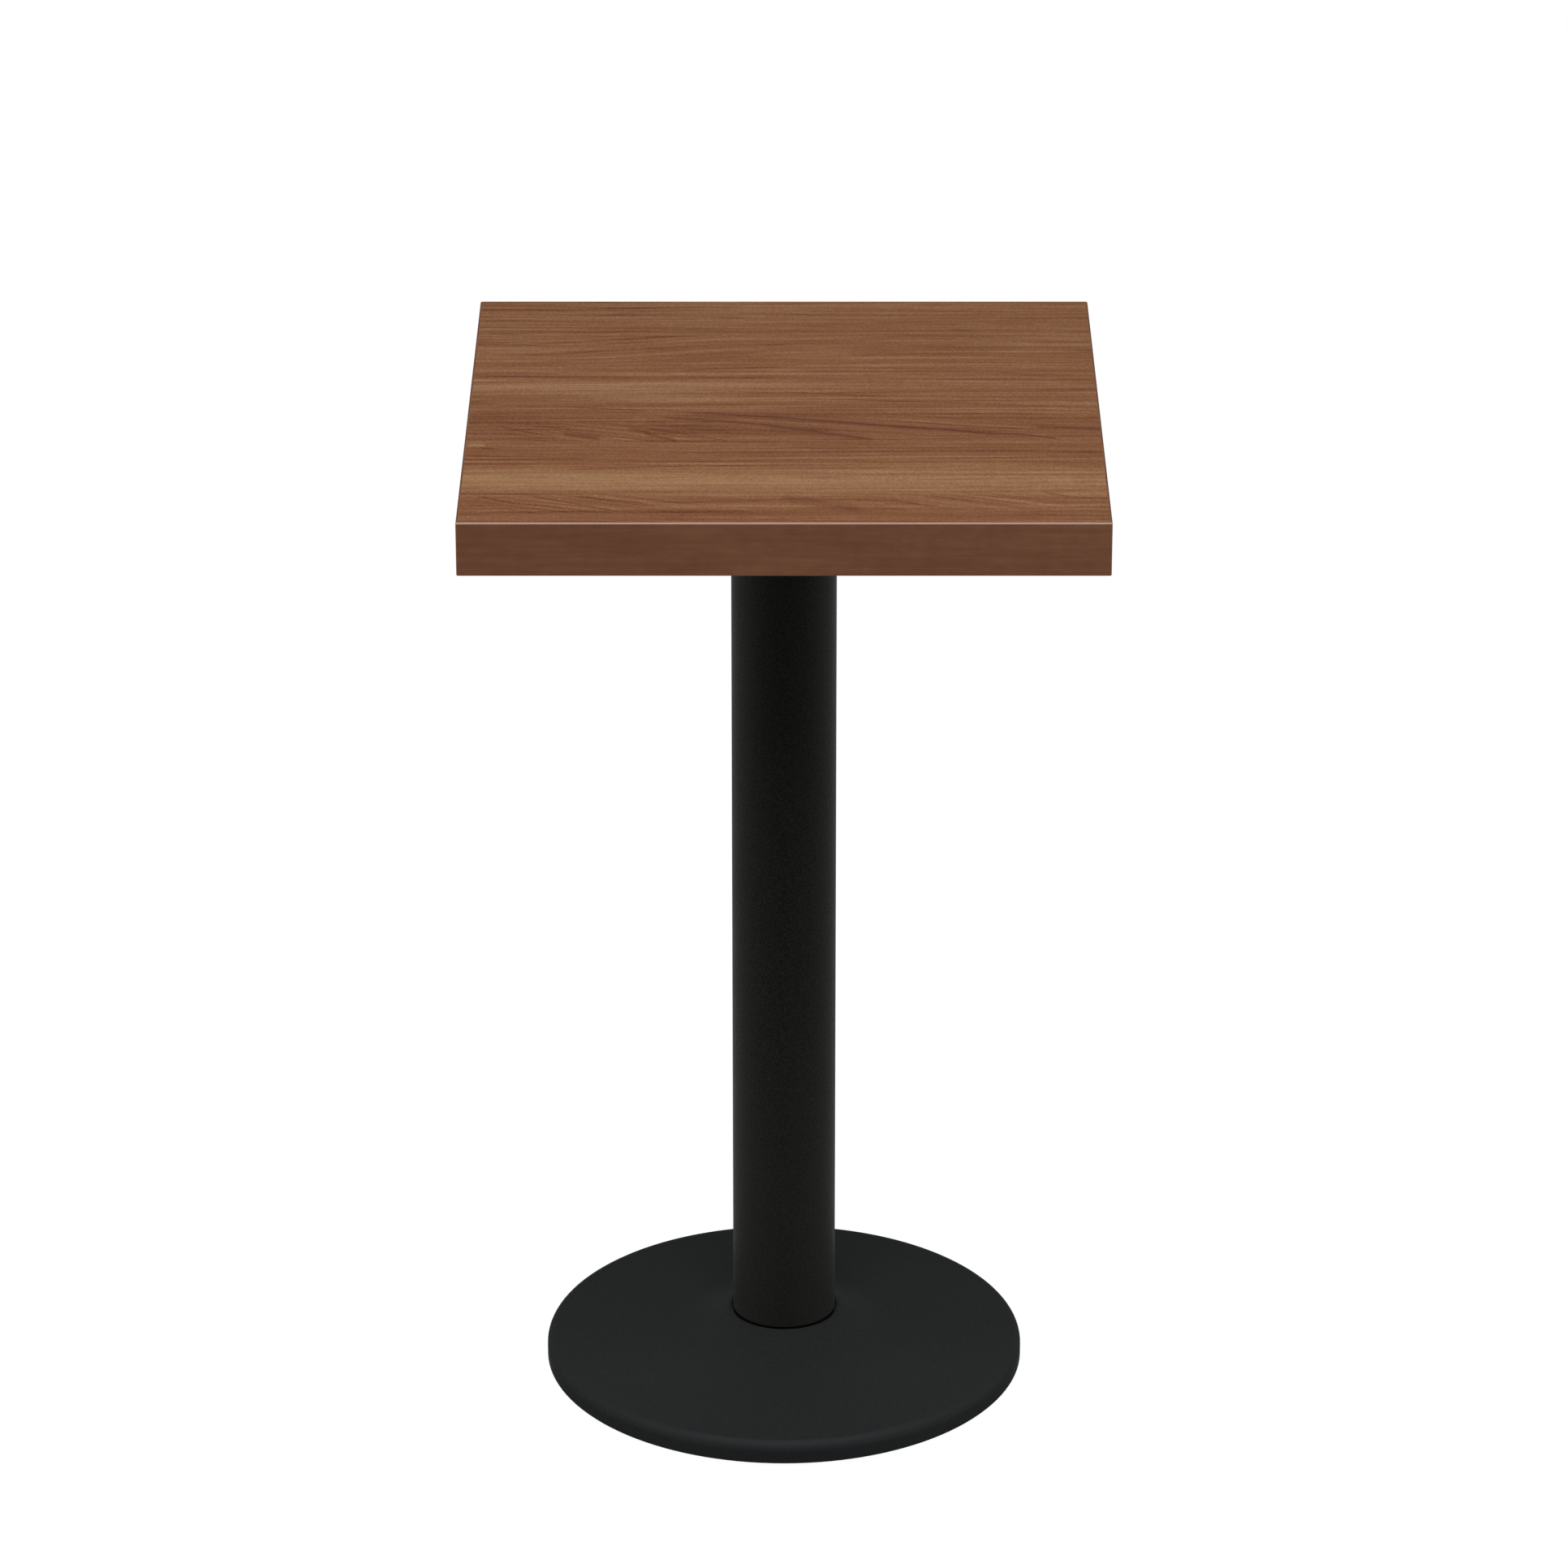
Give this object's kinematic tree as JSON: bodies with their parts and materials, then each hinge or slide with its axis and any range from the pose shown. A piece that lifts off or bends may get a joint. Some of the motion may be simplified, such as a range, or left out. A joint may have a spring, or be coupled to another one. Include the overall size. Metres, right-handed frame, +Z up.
{
  "type": "bar table",
  "caption": "Bar-height pedestal table: square walnut-laminate top with a thick dark edge on a black steel column and a round flared base with levelling feet.",
  "frame": {"origin": "on the floor, on the column's axis", "axes": "+Z up the column, +X along the grain of the top, -Y towards the front edge"},
  "size_m": [0.6, 0.6, 1.015],
  "materials": {
    "walnut_laminate": "satin walnut-look decor laminate",
    "edge_band": "darker walnut-look plastic edging",
    "particle_board": "raw particle board",
    "backer_sheet": "plain dark brown balancing sheet",
    "column_coat": "fine-textured black powder coat",
    "spider_coat": "black paint on cast iron",
    "base_coat": "matte black powder coat on cast iron",
    "zinc_steel": "zinc-plated steel",
    "nylon": "moulded black nylon"
  },
  "bodies": {
    "table": {"laminate_face": "walnut_laminate", "core_panel": "particle_board", "backer_sheet": "backer_sheet", "spider_plate": "spider_coat", "spider_screws": "zinc_steel", "column_tube": "column_coat", "tie_rod": "zinc_steel", "upper_washer": "zinc_steel", "upper_lock_washer": "zinc_steel", "upper_nut": "zinc_steel", "lower_washer": "zinc_steel", "lower_lock_washer": "zinc_steel", "lower_nut": "zinc_steel", "base_casting": "base_coat", "buildup_strip_front": "particle_board", "edge_band_front": "edge_band", "buildup_strip_back": "particle_board", "edge_band_back": "edge_band", "buildup_strip_left": "particle_board", "edge_band_left": "edge_band", "buildup_strip_right": "particle_board", "edge_band_right": "edge_band"},
    "pad_front_left": {"glide_pad_front_left": "nylon"},
    "stem_front_left": {"glide_stem_front_left": "zinc_steel"},
    "pad_front_right": {"glide_pad_front_right": "nylon"},
    "stem_front_right": {"glide_stem_front_right": "zinc_steel"},
    "pad_back_left": {"glide_pad_back_left": "nylon"},
    "stem_back_left": {"glide_stem_back_left": "zinc_steel"},
    "pad_back_right": {"glide_pad_back_right": "nylon"},
    "stem_back_right": {"glide_stem_back_right": "zinc_steel"}
  },
  "joints": [
    {"name": "level_front_left", "type": "slide", "parent": "table", "child": "pad_front_left", "axis": [0, 0, -1], "range_m": [0, 0.006]},
    {"name": "screw_front_left", "type": "hinge", "parent": "pad_front_left", "child": "stem_front_left", "pos_m": [-0.13081, -0.13081, 0.0046], "axis": [0, 0, -1], "range_deg": [0, 1728]},
    {"name": "level_front_right", "type": "slide", "parent": "table", "child": "pad_front_right", "axis": [0, 0, -1], "range_m": [0, 0.006]},
    {"name": "screw_front_right", "type": "hinge", "parent": "pad_front_right", "child": "stem_front_right", "pos_m": [0.13081, -0.13081, 0.0046], "axis": [0, 0, -1], "range_deg": [0, 1728]},
    {"name": "level_back_left", "type": "slide", "parent": "table", "child": "pad_back_left", "axis": [0, 0, -1], "range_m": [0, 0.006]},
    {"name": "screw_back_left", "type": "hinge", "parent": "pad_back_left", "child": "stem_back_left", "pos_m": [-0.13081, 0.13081, 0.0046], "axis": [0, 0, -1], "range_deg": [0, 1728]},
    {"name": "level_back_right", "type": "slide", "parent": "table", "child": "pad_back_right", "axis": [0, 0, -1], "range_m": [0, 0.006]},
    {"name": "screw_back_right", "type": "hinge", "parent": "pad_back_right", "child": "stem_back_right", "pos_m": [0.13081, 0.13081, 0.0046], "axis": [0, 0, -1], "range_deg": [0, 1728]}
  ],
  "couplings": [
    {"joint": "level_front_left", "follows": "screw_front_left", "m_per_rad": 0.0001989},
    {"joint": "level_front_right", "follows": "screw_front_right", "m_per_rad": 0.0001989},
    {"joint": "level_back_left", "follows": "screw_back_left", "m_per_rad": 0.0001989},
    {"joint": "level_back_right", "follows": "screw_back_right", "m_per_rad": 0.0001989}
  ]
}
